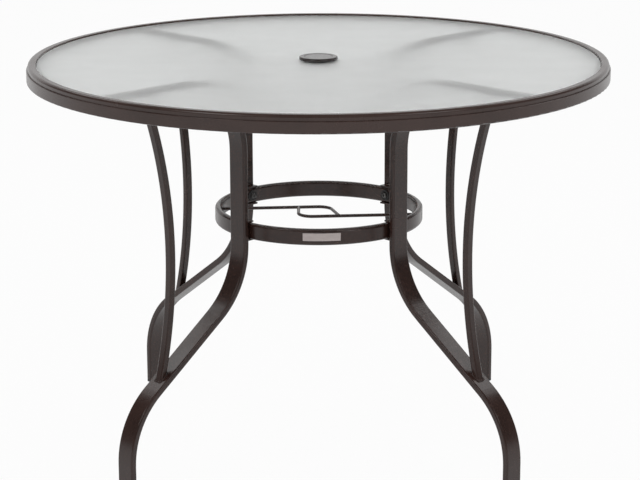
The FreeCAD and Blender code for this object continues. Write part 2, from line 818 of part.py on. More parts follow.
def flat_seat(radius, spread):
    """How far out a flat disc of this spread lies against the hollow side of a round wall."""
    return root(radius * radius - spread * spread)


nut_bore = cell("bolt_radius") + cell("nut_thread_gap")


def fasteners(prefix, nut_label, spots, wall, nut_start, height):
    """Bolts, washers and nuts at the same places round the table, each kind as one group."""
    washer_radius = cell(prefix + "_washer_radius")
    washer_end = flat_seat(wall, washer_radius)
    seat = washer_end - cell("washer_thick")
    nut_end = nut_start + cell("nut_length")
    bolts = []
    washers = []
    nuts = []
    for name, turn in spots:
        bolt_end = nut_end + cell("bolt_past_nut_length")
        bolts.append(bolt(f"{prefix}_bolt_{name}", seat, bolt_end, height, turn))
        washers.append(sleeve(f"{prefix}_washer_{name}", cell("bolt_hole_radius"), washer_radius,
                              seat, washer_end, height, turn))
        nuts.append(sleeve(f"{nut_label}_{name}", nut_bore, cell("nut_radius"),
                           nut_start, nut_end, height, turn))
    parts.append(group(prefix + "_bolts", bolts))
    parts.append(group(prefix + "_washers", washers))
    parts.append(group(nut_label + "s", nuts))


fasteners("plate", "rim_weld_nut", list(plate_bolt_angles()), arm_end, rim_wall + tube_wall, plate_middle)
fasteners("ring", "leg_weld_nut", list(LEGS.items()), ring_inner, upright_face + cell("leg_tube_wall"),
          cell("ring_middle_height"))

# Pole guide: two wires across the ring, each hooked round one side of the pole
side_place = cell("guide_side_place")
bend = cell("guide_bend_radius")
wire = cell("guide_wire_radius")
run_length = root(ring_inner * ring_inner - side_place * side_place) + cell("guide_end_spare")


def guide_wire(label, turn, bend_turn, tip_place):
    """A straight run from the ring, a bend through bend_turn and a tip that stops short of the other run.

    It is drawn with the tip along -Y, so that the run leans, and then turned to its own place.
    """
    body = new_body(label + "_wire")
    path = new_sketch(body, label + "_path", "XY_Plane")
    lean = bend_turn - QUARTER_TURN
    corner = (tip_place * sine(lean) + side_place) / cosine(lean)
    tangent = bend * sine(bend_turn / 2) / cosine(bend_turn / 2)
    start = (-side_place * sine(lean) - run_length * cosine(lean),
             side_place * cosine(lean) - run_length * sine(lean))
    run_end = (tip_place - tangent * cosine(lean), corner - tangent * sine(lean))
    tip_start = corner - tangent
    # the other run lies parallel to this one; the tip's square end stays a gap away from its side
    reach = wire + cell("guide_tip_gap") + wire * root(cosine(bend_turn) * cosine(bend_turn))
    tip = corner - (2 * side_place - reach) / sine(bend_turn)
    path.addGeometry(Part.LineSegment(as_vector(start), as_vector(run_end)), False)
    centre = Vector(tip_place.number - bend.number, tip_start.number, 0)
    circle = Part.Circle(centre, Vector(0, 0, 1), bend.number)
    path.addGeometry(Part.ArcOfCircle(circle, 0, math.radians(bend_turn.number)), False)
    path.addGeometry(Part.LineSegment(as_vector((tip_place, tip_start)), as_vector((tip_place, tip))), False)
    path.addConstraint(Sketcher.Constraint("Coincident", 0, 2, 1, 2))
    path.addConstraint(Sketcher.Constraint("Coincident", 1, 1, 2, 1))
    pin(path, 0, 1, start)
    pin(path, 0, 2, run_end)
    pin(path, 2, 1, (tip_place, tip_start))
    pin(path, 2, 2, (tip_place, tip))
    hold(path, "Radius", 1, size=bend)
    section = new_sketch(body, label + "_section", "XZ_Plane")
    bind(section, "AttachmentOffset.Base.z", -tip)
    section.addGeometry(Part.Circle(Vector(tip_place.number, 0, 0), Vector(0, 0, 1), wire.number), False)
    pin(section, 0, 3, (tip_place, ZERO))
    hold(section, "Radius", 0, size=wire)
    pipe = body.newObject("PartDesign::AdditivePipe", label + "_pipe")
    pipe.Profile = section
    pipe.Spine = (path, [])
    body.Tip = pipe
    bind(body, "Placement.Base.z", cell("ring_middle_height"))
    guide = doc.addObject("Part::Common", label)
    guide.Base = body
    guide.Tool = post(label + "_cope", ring_inner, ring_bottom, ring_top)
    guide.Label = label
    return face_outwards(guide, turn - lean + cell("guide_slant_angle"))


parts.append(guide_wire("pole_guide_left", ZERO, cell("guide_open_turn_angle"), cell("guide_open_place")))
parts.append(guide_wire("pole_guide_right", size_of(HALF_TURN), cell("guide_closed_turn_angle"),
                        cell("guide_closed_place")))

# Label plate: a blank strip on the front of the ring
label_middle = cell("ring_middle_height") + cell("label_rise_height")
label_back = ring_outer + cell("label_gap")
label_face = label_back + cell("label_thick")
label_plate = turned("label_plate", [
    (label_back, label_middle - cell("label_height") / 2),
    (label_face, label_middle - cell("label_height") / 2),
    (label_face, label_middle + cell("label_height") / 2),
    (label_back, label_middle + cell("label_height") / 2),
], in_degrees(cell("label_width"), ring_outer))
parts.append(face_outwards(label_plate, size_of(FRONT) + in_degrees(cell("label_shift_length"), ring_outer)))

doc.recompute()

failed = [item.Label for item in doc.Objects if "Invalid" in item.State or "Error" in item.State]
if failed:
    raise RuntimeError("these objects did not recompute: " + ", ".join(failed))
for piece in parts:
    if piece.Shape.isNull() or not piece.Shape.isValid():
        raise RuntimeError("this piece has no valid shape: " + piece.Label)

# The long thin rounds of the braces turn into an even mesh only when they are splines
os.makedirs("parts", exist_ok=True)
for piece in parts:
    shape = piece.Shape.toNurbs() if piece.Label.startswith("brace_") else piece.Shape
    shape.exportStep(os.path.join("parts", piece.Label + ".step"))
    print(f"{piece.Label}: {len(piece.Shape.Solids)} solid(s), {piece.Shape.Volume / 1000:.2f} cm3")
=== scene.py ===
import math

import bpy
import numpy as np
from mathutils import Matrix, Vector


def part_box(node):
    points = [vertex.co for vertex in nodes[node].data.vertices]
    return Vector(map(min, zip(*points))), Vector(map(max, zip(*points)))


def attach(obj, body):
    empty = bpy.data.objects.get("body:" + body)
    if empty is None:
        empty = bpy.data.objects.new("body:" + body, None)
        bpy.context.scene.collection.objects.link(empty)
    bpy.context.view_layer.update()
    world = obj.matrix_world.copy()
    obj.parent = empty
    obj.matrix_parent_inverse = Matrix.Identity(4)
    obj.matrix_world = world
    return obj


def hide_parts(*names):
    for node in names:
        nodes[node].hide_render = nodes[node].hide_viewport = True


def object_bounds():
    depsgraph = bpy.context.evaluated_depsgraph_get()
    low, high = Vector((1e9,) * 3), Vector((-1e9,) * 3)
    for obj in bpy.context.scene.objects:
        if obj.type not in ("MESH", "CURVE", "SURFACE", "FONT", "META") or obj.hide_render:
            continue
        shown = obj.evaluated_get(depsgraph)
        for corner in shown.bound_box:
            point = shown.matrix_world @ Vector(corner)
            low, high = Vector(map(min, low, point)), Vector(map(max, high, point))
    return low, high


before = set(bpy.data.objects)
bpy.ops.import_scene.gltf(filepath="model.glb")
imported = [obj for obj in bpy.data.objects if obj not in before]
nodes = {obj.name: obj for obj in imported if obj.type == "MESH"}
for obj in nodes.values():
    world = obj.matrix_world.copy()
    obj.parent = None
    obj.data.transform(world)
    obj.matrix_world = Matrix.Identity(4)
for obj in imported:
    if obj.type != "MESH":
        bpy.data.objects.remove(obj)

cad_low, cad_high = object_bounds()


# Rim, end plates, legs, braces and middle ring: steel tube and strap, rolled, bent and welded, then
# coated. The powder is sprayed on dry and baked, which leaves a dark brown satin skin with a faint
# orange peel and a fine fleck. All but the rim take a darker copy of the same coat, which is painted shade.
LEG_TURNS = {"front_left": 225.0, "front_right": 315.0, "back_right": 45.0, "back_left": 135.0}


def linear(colour):
    """sRGB hex to linear RGBA, by the sRGB curve."""
    channels = np.array([int(colour[i:i + 2], 16) for i in (1, 3, 5)]) / 255
    curve = np.where(channels <= 0.04045, channels / 12.92, ((channels + 0.055) / 1.055) ** 2.4)
    return (*curve.tolist(), 1.0)


def add(tree, kind, settings=(), inputs=()):
    """A new node with its own settings set, and its inputs filled or linked."""
    node = tree.nodes.new(kind)
    for name, value in dict(settings).items():
        setattr(node, name, value)
    for name, value in dict(inputs).items():
        if isinstance(value, bpy.types.NodeSocket):
            tree.links.new(value, node.inputs[name])
        else:
            node.inputs[name].default_value = value
    return node


def new_material(name):
    """A material with an empty tree and one shader in it."""
    material = bpy.data.materials.new(name)
    material.use_nodes = True
    tree = material.node_tree
    tree.nodes.clear()
    shader = add(tree, "ShaderNodeBsdfPrincipled")
    add(tree, "ShaderNodeOutputMaterial", (), {"Surface": shader.outputs["BSDF"]})
    return material, tree, shader


def noise(tree, place, size, detail):
    """Noise whose blotches are about this size, in metres."""
    inputs = {"Vector": place, "Scale": 1 / size, "Detail": detail}
    return add(tree, "ShaderNodeTexNoise", (), inputs).outputs["Fac"]


NOISE_LOW = 0.3
NOISE_HIGH = 0.7


def between(tree, share, low, high):
    """Low where the share is small, high where it is large, over the middle of the noise's range."""
    inputs = {"Value": share, "From Min": NOISE_LOW, "From Max": NOISE_HIGH, "To Min": low, "To Max": high}
    return add(tree, "ShaderNodeMapRange", {"clamp": True}, inputs).outputs["Result"]


def blend(tree, share, first, second):
    """A colour between two others."""
    mix = add(tree, "ShaderNodeMix", {"data_type": "RGBA"})
    tree.links.new(share, mix.inputs["Factor"])
    for name, colour in (("A", first), ("B", second)):
        socket = [s for s in mix.inputs if s.name == name and s.type == "RGBA"][0]
        if isinstance(colour, bpy.types.NodeSocket):
            tree.links.new(colour, socket)
        else:
            socket.default_value = colour
    return [s for s in mix.outputs if s.type == "RGBA"][0]


COAT_BLOTCH = 0.070
COAT_FLECK = 0.0010
COAT_PEEL = 0.0022
PEEL_HEIGHT = 0.000015
FLECK_MIX = (-0.8, 0.3)
COAT_ROUGHNESS = (0.22, 0.28)
POLYESTER_IOR = 1.45


def powder_coat(name, dark, pale, peel_height):
    """Baked polyester powder: blotches of 70 mm, a fleck of 1 mm and an orange peel of 2.2 mm."""
    material, tree, shader = new_material(name)
    place = add(tree, "ShaderNodeTexCoord").outputs["Object"]
    film = noise(tree, place, COAT_BLOTCH, 2.0)
    fleck = noise(tree, place, COAT_FLECK, 1.0)
    peel = noise(tree, place, COAT_PEEL, 2.0)
    body = blend(tree, between(tree, film, 0.0, 1.0), linear(dark), linear(pale))
    colour = blend(tree, between(tree, fleck, *FLECK_MIX), body, linear("#5E4B42"))
    tree.links.new(colour, shader.inputs["Base Color"])
    tree.links.new(between(tree, film, *COAT_ROUGHNESS), shader.inputs["Roughness"])
    skin = add(tree, "ShaderNodeBump", (), {"Height": peel, "Strength": 1.0, "Distance": peel_height})
    tree.links.new(skin.outputs["Normal"], shader.inputs["Normal"])
    shader.inputs["IOR"].default_value = POLYESTER_IOR
    return material


def dress(material, *names):
    """Gives CAD nodes their finish."""
    for name in names:
        nodes[name].data.materials.clear()
        nodes[name].data.materials.append(material)


rim_coat = powder_coat("baked_brown_powder_coat", "#332521", "#3D2D29", PEEL_HEIGHT)
# a darker copy of the rim's coat: painted shade on the legs, braces, plates, brackets, guides and ring
leg_coat_painted_shade = powder_coat("baked_brown_powder_coat_painted_shade", "#271814", "#311F1A", PEEL_HEIGHT)
dress(rim_coat, "table_rim")
dress(leg_coat_painted_shade, "middle_ring", "pole_guide_left", "pole_guide_right")
for leg in LEG_TURNS:
    dress(leg_coat_painted_shade, "leg_" + leg, "brace_" + leg, "end_plate_" + leg, "ring_bracket_" + leg)


# Weld beads: short runs of weld metal in the corners where the braces, end plates and brackets meet
# the legs, put on before coating. Each is a row of overlapping ripples with soft ends.
BEAD_RADIUS = 0.0019
BEAD_SIDES = 12
# the share of its full radius, squared, that a bead still has at its very tip
BEAD_TIP = 0.01
RIPPLE_PITCH = 0.0026
RIPPLE_SHARE = 0.13
RIPPLE_POINTS = 5
FEWEST_STEPS = 8
OUTLINE_POINTS = 64


def evenly(path, spacing, closed):
    """The same line with points at even steps along it."""
    ends = np.vstack([path, path[:1]]) if closed else path
    reach = np.concatenate([[0], np.cumsum(np.linalg.norm(np.diff(ends, axis=0), axis=1))])
    steps = max(FEWEST_STEPS, round(reach[-1] / spacing))
    at = np.linspace(0, reach[-1], steps, endpoint=not closed)
    return np.stack([np.interp(at, reach, ends[:, axis]) for axis in range(3)], 1), at


def grid_piece(name, points, wrap_path, body, material):
    """Joins points[step, side] into faces, round the sides and, if asked, round the path.

    An open path is closed at both ends by a fan of triangles to the middle of its end ring.
    """
    steps, sides = points.shape[:2]
    ids = np.arange(steps * sides).reshape(steps, sides)
    here = ids if wrap_path else ids[:-1]
    ahead = np.roll(ids, -1, axis=0) if wrap_path else ids[1:]
    quads = np.stack([here, np.roll(here, -1, axis=1), np.roll(ahead, -1, axis=1), ahead], 2).reshape(-1, 4)
    faces = quads.tolist()
    spots = points.reshape(-1, 3)
    if not wrap_path:
        poles = np.stack([points[0].mean(0), points[-1].mean(0)])
        first, last = len(spots), len(spots) + 1
        spots = np.vstack([spots, poles])
        turn = np.roll(ids, -1, axis=1)
        faces += np.stack([turn[0], ids[0], np.full(sides, first)], 1).tolist()
        faces += np.stack([ids[-1], turn[-1], np.full(sides, last)], 1).tolist()
    mesh = bpy.data.meshes.new(name)
    mesh.from_pydata(spots.tolist(), [], faces)
    mesh.polygons.foreach_set("use_smooth", np.ones(len(faces), bool))
    mesh.update()
    mesh.materials.append(material)
    piece = bpy.data.objects.new(name, mesh)
    bpy.context.scene.collection.objects.link(piece)
    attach(piece, body)
    return piece


def bead(name, path, normal, closed):
    """A tube along the path whose radius swells once each ripple, and rounds off at open ends.

    At s along the path the radius is r (1 + k |sin(pi s / pitch)|), with k the share of a ripple.
    """
    line, at = evenly(path, RIPPLE_PITCH / RIPPLE_POINTS, closed)
    if closed:
        ahead = np.roll(line, -1, axis=0) - np.roll(line, 1, axis=0)
    else:
        ahead = np.gradient(line, axis=0)
    ahead = ahead / np.linalg.norm(ahead, axis=1, keepdims=True)
    normal = np.array(normal) / np.linalg.norm(normal)
    side = np.cross(ahead, normal)
    side = side / np.linalg.norm(side, axis=1, keepdims=True)
    up = np.cross(side, ahead)
    radius = BEAD_RADIUS * (1 + RIPPLE_SHARE * np.abs(np.sin(np.pi * at / RIPPLE_PITCH)))
    if not closed:
        from_end = np.minimum(at, at[-1] - at) / (2 * BEAD_RADIUS)
        radius = radius * np.sqrt(np.clip(1 - (1 - np.clip(from_end, 0, 1)) ** 2, BEAD_TIP, 1))
    turn = np.linspace(0, 2 * np.pi, BEAD_SIDES, endpoint=False)
    ring = np.cos(turn)[None, :, None] * side[:, None] + np.sin(turn)[None, :, None] * up[:, None]
    points = line[:, None] + radius[:, None, None] * ring
    return grid_piece(name, points, closed, "frame", weld)


def tube_outline(width, depth, corner):
    """Round-cornered rectangle: a circle of the corner radius, each quarter moved to its own corner."""
    turn = (np.arange(OUTLINE_POINTS) + 0.5) * 2 * np.pi / OUTLINE_POINTS
    across = np.sign(np.cos(turn)) * (width / 2 - corner) + corner * np.cos(turn)
    along = np.sign(np.sin(turn)) * (depth / 2 - corner) + corner * np.sin(turn)
    return across, along


def turned_to(leg, radius, side, height):
    """Points given outwards along a leg's own line, sideways and up, in the frame."""
    angle = math.radians(LEG_TURNS[leg])
    x = radius * math.cos(angle) - side * math.sin(angle)
    y = radius * math.sin(angle) + side * math.cos(angle)
    return np.stack([x, y, height + 0 * x], 1)


WELD_GRAIN_HEIGHT = 0.00005
# the legs' darker coat again, so the beads carry the same painted shade
weld = powder_coat("powder_coat_over_weld_bead", "#271814", "#31201B", WELD_GRAIN_HEIGHT)

LEG_WIDTH = 0.038
LEG_DEPTH = 0.012
LEG_CORNER = 0.0032
BRACE_WIDTH = 0.016
BRACE_DEPTH = 0.012
BRACE_CORNER = 0.0028
BOW_RADIUS = 0.835
BOW_HEIGHT = 0.428
BOW_NEAREST = 0.3693
ARM_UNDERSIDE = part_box("brace_front_left")[1].z
SLOPE = math.radians(54.4)
SLOPE_MIDDLE_RADIUS = 0.3415
SLOPE_MIDDLE_HEIGHT = 0.2442
SLOPE_RADIUS = SLOPE_MIDDLE_RADIUS + LEG_DEPTH / 2 * math.cos(SLOPE)
SLOPE_HEIGHT = SLOPE_MIDDLE_HEIGHT + LEG_DEPTH / 2 * math.sin(SLOPE)
bow_centre = BOW_NEAREST + BOW_RADIUS
brace_side, brace_out = tube_outline(BRACE_WIDTH, BRACE_DEPTH, BRACE_CORNER)
bow = BOW_RADIUS - brace_out
# where each line along the brace meets the flat underside of the arm
top_radius = bow_centre - np.sqrt(bow ** 2 - (ARM_UNDERSIDE - BOW_HEIGHT) ** 2)
# and where it meets the upper face of the slope. At t inwards from the middle of the bow, that face stands
# at_centre + fall t over it, and t^2 + (at_centre + fall t)^2 = bow^2 gives t.
fall = 1 / math.tan(SLOPE)
at_centre = SLOPE_HEIGHT - (bow_centre - SLOPE_RADIUS) * fall - BOW_HEIGHT
half = fall * at_centre
inward = (-half + np.sqrt(half ** 2 - (1 + fall ** 2) * (at_centre ** 2 - bow ** 2))) / (1 + fall ** 2)
foot_radius = bow_centre - inward
foot_height = SLOPE_HEIGHT - (foot_radius - SLOPE_RADIUS) * fall
for leg in LEG_TURNS:
    out = turned_to(leg, np.array([math.sin(math.pi / 2 - SLOPE)]), np.zeros(1), math.sin(SLOPE))[0]
    bead("weld_brace_top_" + leg, turned_to(leg, top_radius, brace_side, ARM_UNDERSIDE), (0, 0, 1), True)
    bead("weld_brace_foot_" + leg, turned_to(leg, foot_radius, brace_side, foot_height), out, True)

ARM_MIDDLE = ARM_UNDERSIDE + LEG_DEPTH / 2
PLATE_FACE = 0.5045
BEAD_RISE = 0.0024
BEAD_TOP = ARM_MIDDLE + BEAD_RISE
arm_side, arm_up = tube_outline(LEG_WIDTH, LEG_DEPTH, LEG_CORNER)
# the run starts high on one side, goes under the arm and ends high on the other side
order = np.argsort((np.arctan2(arm_up, arm_side) - np.pi / 2) % (2 * np.pi))
arm_side = arm_side[order]
arm_up = arm_up[order]
kept = ARM_MIDDLE + arm_up < BEAD_TOP
for leg in LEG_TURNS:
    side = np.concatenate([[-LEG_WIDTH / 2], arm_side[kept], [LEG_WIDTH / 2]])
    height = np.concatenate([[BEAD_TOP], ARM_MIDDLE + arm_up[kept], [BEAD_TOP]])
    radius = np.sqrt(PLATE_FACE ** 2 - side ** 2)
    outwards = turned_to(leg, np.ones(1), np.zeros(1), 0.0)[0]
    bead("weld_arm_" + leg, turned_to(leg, radius, side, height), outwards, False)

UPRIGHT_FACE = 0.197
BRACKET_BEAD_HALF = 0.0105
BRACKET_BEAD_POINTS = 20
BRACKET_ROUND = 0.002
bracket_low, bracket_high = [corner.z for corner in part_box("ring_bracket_front_left")]
for leg in LEG_TURNS:
    outwards = turned_to(leg, np.ones(1), np.zeros(1), 0.0)[0]
    for end, height in (("low", bracket_low + BRACKET_ROUND / 2), ("high", bracket_high - BRACKET_ROUND / 2)):
        side = np.linspace(-BRACKET_BEAD_HALF, BRACKET_BEAD_HALF, BRACKET_BEAD_POINTS)
        radius = np.full(BRACKET_BEAD_POINTS, UPRIGHT_FACE - BRACKET_ROUND / 2)
        path = turned_to(leg, radius, side, height)
        bead(f"weld_bracket_{end}_{leg}", path, outwards, False)


# Bolts, washers and weld nuts: zinc-plated steel, tumbled in a drum, so pale grey and a little cloudy
# with a soft metal shine.
PLATE_CLOUD = 0.004
PLATE_GRAIN = 0.0006
PLATE_GRAIN_HEIGHT = 0.000008
PLATE_ROUGHNESS = (0.28, 0.40)


def zinc_plate():
    """Plated steel with clouds of 4 mm and a fine drum-tumbled grain of 0.6 mm."""
    material, tree, shader = new_material("zinc_plated_steel")
    place = add(tree, "ShaderNodeTexCoord").outputs["Object"]
    clouds = noise(tree, place, PLATE_CLOUD, 3.0)
    grain = noise(tree, place, PLATE_GRAIN, 1.0)
    colour = blend(tree, between(tree, clouds, 0.0, 1.0), linear("#B9BBBD"), linear("#A3A5A6"))
    tree.links.new(colour, shader.inputs["Base Color"])
    tree.links.new(between(tree, clouds, *PLATE_ROUGHNESS), shader.inputs["Roughness"])
    shader.inputs["Metallic"].default_value = 1.0
    skin = add(tree, "ShaderNodeBump", (), {"Height": grain, "Strength": 1.0, "Distance": PLATE_GRAIN_HEIGHT})
    tree.links.new(skin.outputs["Normal"], shader.inputs["Normal"])
    return material


dress(zinc_plate(), "plate_bolts", "plate_washers", "rim_weld_nuts", "leg_weld_nuts")


# Ring bolts: the same steel with a dark zinc and nickel coating, baked after plating. Each goes through
# the middle ring and a bracket into the weld nut in a leg.
# the bolts' dark coat also stands in for the shade inside the brackets: painted shade
DARK_CLOUD = 0.003
DARK_ROUGHNESS = (0.26, 0.38)
DARK_IOR = 1.6


def dark_plate_painted_shade():
    """Dark coated steel with clouds of 3 mm; its dark is partly painted shade for the brackets."""
    material, tree, shader = new_material("dark_zinc_nickel_steel")
    place = add(tree, "ShaderNodeTexCoord").outputs["Object"]
    clouds = noise(tree, place, DARK_CLOUD, 3.0)
    colour = blend(tree, between(tree, clouds, 0.0, 1.0), linear("#2A2827"), linear("#3A3735"))
    tree.links.new(colour, shader.inputs["Base Color"])
    tree.links.new(between(tree, clouds, *DARK_ROUGHNESS), shader.inputs["Roughness"])
    shader.inputs["IOR"].default_value = DARK_IOR
    return material


dress(dark_plate_painted_shade(), "ring_bolts")


# Ring washers: black rubber, stamped from sheet. One lies under each bolt head, where it grips the ring
# and spares its coat.
# the washers' black also stands in for the shade inside the brackets: painted shade
RUBBER_BLOOM = 0.005
RUBBER_GRAIN = 0.0008
RUBBER_GRAIN_HEIGHT = 0.00003
RUBBER_ROUGHNESS = (0.60, 0.75)
RUBBER_IOR = 1.52


def sheet_rubber_painted_shade():
    """Dull black rubber with a bloom of 5 mm and a cloth grain of 0.8 mm; its black is partly painted shade.
    """
    material, tree, shader = new_material("stamped_sheet_rubber")
    place = add(tree, "ShaderNodeTexCoord").outputs["Object"]
    bloom = noise(tree, place, RUBBER_BLOOM, 3.0)
    grain = noise(tree, place, RUBBER_GRAIN, 1.0)
    colour = blend(tree, between(tree, bloom, 0.0, 1.0), linear("#171616"), linear("#252323"))
    tree.links.new(colour, shader.inputs["Base Color"])
    tree.links.new(between(tree, bloom, *RUBBER_ROUGHNESS), shader.inputs["Roughness"])
    shader.inputs["IOR"].default_value = RUBBER_IOR
    texture = {"Height": grain, "Strength": 1.0, "Distance": RUBBER_GRAIN_HEIGHT}
    skin = add(tree, "ShaderNodeBump", (), texture)
    tree.links.new(skin.outputs["Normal"], shader.inputs["Normal"])
    return material


dress(sheet_rubber_painted_shade(), "ring_washers")


# Foot glides: black polyethylene, moulded with a fine spark-eroded texture. Each is pushed into the open
# end of a leg and keeps the steel off the ground.
GLIDE_SCUFF = 0.012
GLIDE_GRAIN = 0.0009
GLIDE_GRAIN_HEIGHT = 0.00003
SCUFF_MIX = (-0.6, 0.8)
GLIDE_ROUGHNESS = (0.52, 0.66)
POLYETHYLENE_IOR = 1.51


def glide_plastic():
    """Dull black plastic with a mould grain of 0.9 mm and pale scuffs of 12 mm."""
    material, tree, shader = new_material("moulded_polyethylene")
    place = add(tree, "ShaderNodeTexCoord").outputs["Object"]
    scuff = noise(tree, place, GLIDE_SCUFF, 4.0)
    grain = noise(tree, place, GLIDE_GRAIN, 1.0)
    colour = blend(tree, between(tree, scuff, *SCUFF_MIX), linear("#1B1A1A"), linear("#2C2A29"))
    tree.links.new(colour, shader.inputs["Base Color"])
    tree.links.new(between(tree, scuff, *GLIDE_ROUGHNESS), shader.inputs["Roughness"])
    shader.inputs["IOR"].default_value = POLYETHYLENE_IOR
    texture = {"Height": grain, "Strength": 1.0, "Distance": GLIDE_GRAIN_HEIGHT}
    skin = add(tree, "ShaderNodeBump", (), texture)
    tree.links.new(skin.outputs["Normal"], shader.inputs["Normal"])
    return material


dress(glide_plastic(), *["foot_glide_" + leg for leg in LEG_TURNS])


# Glass pads: soft clear vinyl discs, punched from sheet. They are stuck on the ledge of the rim and on
# the arms, under the glass, so that it can't rattle.
VINYL_HAZE = 0.003
VINYL_ROUGHNESS = (0.30, 0.45)
VINYL_CLEARNESS = 0.6
VINYL_IOR = 1.53


def clear_vinyl():
    """Milky soft vinyl with a faint haze of 3 mm."""
    material, tree, shader = new_material("clear_vinyl")
    place = add(tree, "ShaderNodeTexCoord").outputs["Object"]
    haze = noise(tree, place, VINYL_HAZE, 2.0)
    colour = blend(tree, between(tree, haze, 0.0, 1.0), linear("#D8DBD9"), linear("#C6CAC8"))
    tree.links.new(colour, shader.inputs["Base Color"])
    tree.links.new(between(tree, haze, *VINYL_ROUGHNESS), shader.inputs["Roughness"])
    shader.inputs["Transmission Weight"].default_value = VINYL_CLEARNESS
    shader.inputs["IOR"].default_value = VINYL_IOR
    return material


dress(clear_vinyl(), "glass_pads")


# Glass top: 5 mm soda-lime float glass, toughened. Its surface is finely obscured, so that what lies
# close under it shows and what lies deeper fades to a pale, slightly green white.
GLASS_HAZE = 0.090
GLASS_PEBBLE = 0.0014
PEBBLE_HEIGHT = 0.00001
GLASS_ROUGHNESS = (0.40, 0.46)
GLASS_IOR = 1.52


def obscure_glass():
    """Clear glass with a rough skin, haze of 90 mm and a fine pebble of 1.4 mm."""
    material, tree, shader = new_material("obscure_float_glass")
    place = add(tree, "ShaderNodeTexCoord").outputs["Object"]
    haze = noise(tree, place, GLASS_HAZE, 2.0)
    pebble = noise(tree, place, GLASS_PEBBLE, 1.0)
    shader.inputs["Base Color"].default_value = linear("#F6F8F7")
    shader.inputs["Transmission Weight"].default_value = 1.0
    shader.inputs["IOR"].default_value = GLASS_IOR
    tree.links.new(between(tree, haze, *GLASS_ROUGHNESS), shader.inputs["Roughness"])
    skin = add(tree, "ShaderNodeBump", (), {"Height": pebble, "Strength": 1.0, "Distance": PEBBLE_HEIGHT})
    tree.links.new(skin.outputs["Normal"], shader.inputs["Normal"])
    return material


dress(obscure_glass(), "glass_top")


# Umbrella ring, collar and cap: brown polypropylene, injection moulded, satin on top. The sleeve has a
# coarse thread under the glass, and the collar is a nut with finger ribs that pulls it down.
PLASTIC_FLOW = 0.015
PLASTIC_GRAIN = 0.0007
PLASTIC_GRAIN_HEIGHT = 0.00001
PLASTIC_ROUGHNESS = (0.16, 0.22)
POLYPROPYLENE_IOR = 1.49
ARC_STEPS = 7
SAME_POINT = 1e-7


def moulded_plastic():
    """Brown plastic with flow marks of 15 mm and a mould grain of 0.7 mm."""
    material, tree, shader = new_material("moulded_polypropylene")
    place = add(tree, "ShaderNodeTexCoord").outputs["Object"]
    flow = noise(tree, place, PLASTIC_FLOW, 2.0)
    grain = noise(tree, place, PLASTIC_GRAIN, 1.0)
    colour = blend(tree, between(tree, flow, 0.0, 1.0), linear("#2A2423"), linear("#302A29"))
    tree.links.new(colour, shader.inputs["Base Color"])
    tree.links.new(between(tree, flow, *PLASTIC_ROUGHNESS), shader.inputs["Roughness"])
    shader.inputs["IOR"].default_value = POLYPROPYLENE_IOR
    texture = {"Height": grain, "Strength": 1.0, "Distance": PLASTIC_GRAIN_HEIGHT}
    skin = add(tree, "ShaderNodeBump", (), texture)
    tree.links.new(skin.outputs["Normal"], shader.inputs["Normal"])
    return material


def rounded_profile(corners, spacing):
    """Corners (radius, height, round) joined by straight runs and arcs, then cut into even steps.

    An arc starts and ends the round's length from its corner b, at a and c on the runs that meet there,
    and follows a + (b - a) sin(t) + (c - b) (1 - cos(t)) between the two.
    """
    spots = np.array([corner[:2] for corner in corners], float)
    rounds = np.array([corner[2] for corner in corners])[:, None]
    back = np.roll(spots, 1, axis=0) - spots
    onward = np.roll(spots, -1, axis=0) - spots
    start = spots + rounds * back / np.linalg.norm(back, axis=1, keepdims=True)
    end = spots + rounds * onward / np.linalg.norm(onward, axis=1, keepdims=True)
    turn = np.linspace(0, np.pi / 2, ARC_STEPS)[None, :, None]
    to_corner = (spots - start)[:, None] * np.sin(turn)
    from_corner = (end - spots)[:, None] * (1 - np.cos(turn))
    line = (start[:, None] + to_corner + from_corner).reshape(-1, 2)
    apart = np.linalg.norm(line - np.roll(line, 1, axis=0), axis=1) > SAME_POINT
    line = line[apart]
    ends = np.vstack([line, line[:1]])
    gaps = np.linalg.norm(np.diff(ends, axis=0), axis=1)
    places = np.concatenate([np.linspace(0, 1, max(1, round(gap / spacing)), endpoint=False) + index
                             for index, gap in enumerate(gaps)])
    whole = places.astype(int)
    share = (places - whole)[:, None]
    return ends[whole] * (1 - share) + ends[whole + 1] * share


def turned_piece(name, profile, angles, depth, body, material):
    """A closed profile carried round the middle axis, its radius less depth(angle, radius, height)."""
    angle = np.linspace(0, 2 * np.pi, angles, endpoint=False)[None, :]
    height = profile[:, 1:2] + 0 * angle
    radius = profile[:, :1] - depth(angle, profile[:, :1], height)
    points = np.stack([radius * np.cos(angle), radius * np.sin(angle), height], 2)
    return grid_piece(name, points, True, body, material)


GLASS_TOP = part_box("glass_top")[1].z
GLASS_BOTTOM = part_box("glass_top")[0].z
SLEEVE_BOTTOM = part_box("umbrella_ring")[0].z
FLANGE_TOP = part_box("umbrella_ring")[1].z
FLANGE_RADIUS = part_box("umbrella_ring")[1].x
FLANGE_ROUND = 0.0024
EDGE_ROUND = 0.0008
SLEEVE_RADIUS = 0.0286
SLEEVE_STEP = 0.0003
SLEEVE_ANGLES = 144
RECESS_RADIUS = 0.0262
RECESS_DEPTH = 0.0075
RECESS_FLOOR = FLANGE_TOP - RECESS_DEPTH
BORE_RADIUS = 0.0225
THREAD_PITCH = 0.004
THREAD_DEPTH = 0.0009
THREAD_FULLNESS = 0.7
THREAD_GAP = 0.001
THREAD_FADE = 0.002
THREAD_TOP = GLASS_BOTTOM - THREAD_GAP
# how near the wall of the sleeve a point has to lie to be cut by the thread
WALL_REACH = 0.0004


